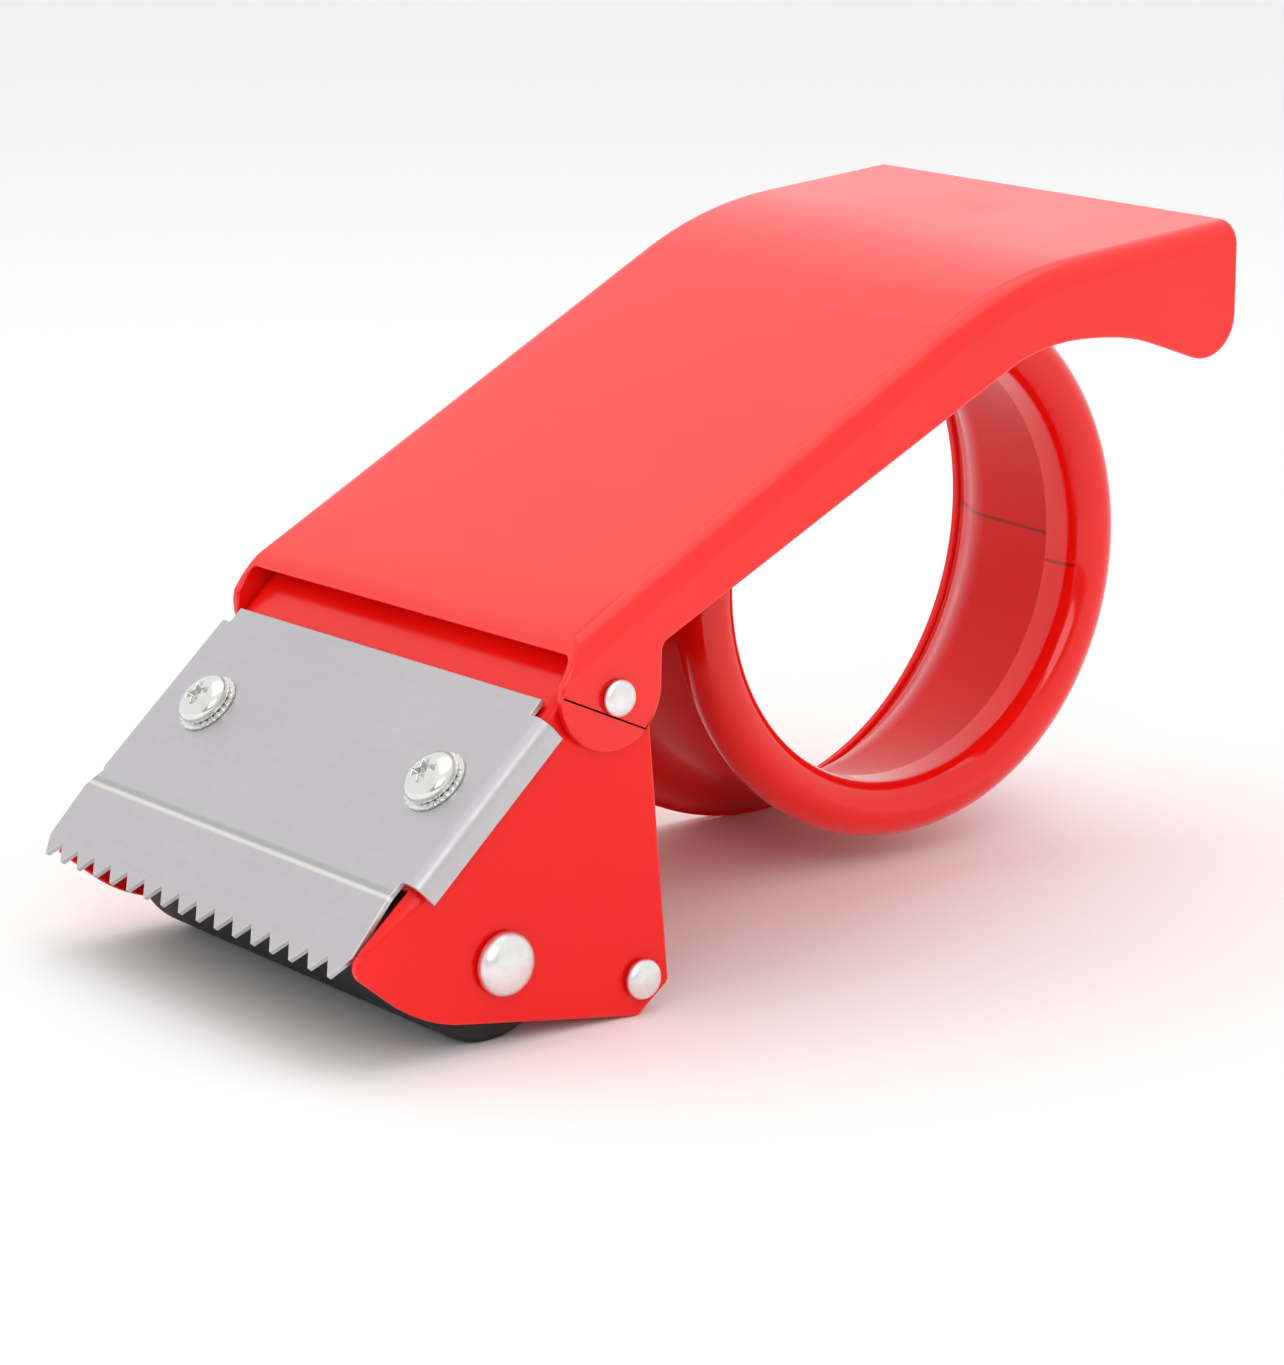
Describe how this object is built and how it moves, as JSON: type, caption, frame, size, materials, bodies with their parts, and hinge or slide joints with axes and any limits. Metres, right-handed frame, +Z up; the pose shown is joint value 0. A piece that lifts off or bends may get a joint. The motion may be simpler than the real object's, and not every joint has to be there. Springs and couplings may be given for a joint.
{
  "type": "packing tape dispenser",
  "caption": "Hand-held packing tape dispenser: pressed steel frame with a ring-shaped roll hub, hinged sprung handle over it, rubber roller, guide sleeve and toothed cutter plate.",
  "frame": {"origin": "Midway between the teeth and the rear of the hub ring, midway between the two pivot pin heads, on the surface the dispenser stands on.", "axes": "+X to the rear (the cutting edge points to -X), +Y to the side that carries the roll hub, +Z up."},
  "size_m": [0.1212, 0.0594, 0.0718],
  "materials": {
    "red_enamel": "gloss red stoving enamel on 1 mm pressed steel",
    "red_enamel_hub": "gloss red enamel, darker inside the hub",
    "stainless_plate": "satin stainless sheet, 0.6 mm",
    "bright_zinc": "bright zinc or nickel plate",
    "black_rubber": "ground matt rubber",
    "natural_nylon": "natural nylon",
    "spring_steel": "oiled spring wire"
  },
  "bodies": {
    "frame": {"head_frame": "red_enamel", "hub_tube": "red_enamel_hub", "hub_rim": "red_enamel", "cutter_plate": "stainless_plate", "near_screw": "bright_zinc", "far_screw": "bright_zinc", "near_washer": "bright_zinc", "far_washer": "bright_zinc", "near_nut": "bright_zinc", "far_nut": "bright_zinc", "roller_axle": "bright_zinc", "guide_pin": "bright_zinc", "pivot_pin": "bright_zinc", "torsion_spring": "spring_steel"},
    "roller": {"rubber_roller": "black_rubber", "roller_core": "natural_nylon", "near_roller_bush": "natural_nylon", "far_roller_bush": "natural_nylon"},
    "guide": {"guide_sleeve": "natural_nylon"},
    "handle": {"handle": "red_enamel"}
  },
  "joints": [
    {"name": "handle_hinge", "type": "hinge", "parent": "frame", "child": "handle", "pos_m": [-0.0315, 0, 0.0314], "axis": [0, -1, 0], "range_deg": [0, 45], "stiffness_Nm_per_rad": 0.06, "springref_deg": -68.75, "deforming": ["torsion_spring"]},
    {"name": "roller_spin", "type": "hinge", "parent": "frame", "child": "roller", "pos_m": [-0.0436, 0, 0.0081], "axis": [0, 1, 0], "continuous": true},
    {"name": "guide_spin", "type": "hinge", "parent": "frame", "child": "guide", "pos_m": [-0.0278, 0, 0.0037], "axis": [0, 1, 0], "continuous": true}
  ]
}
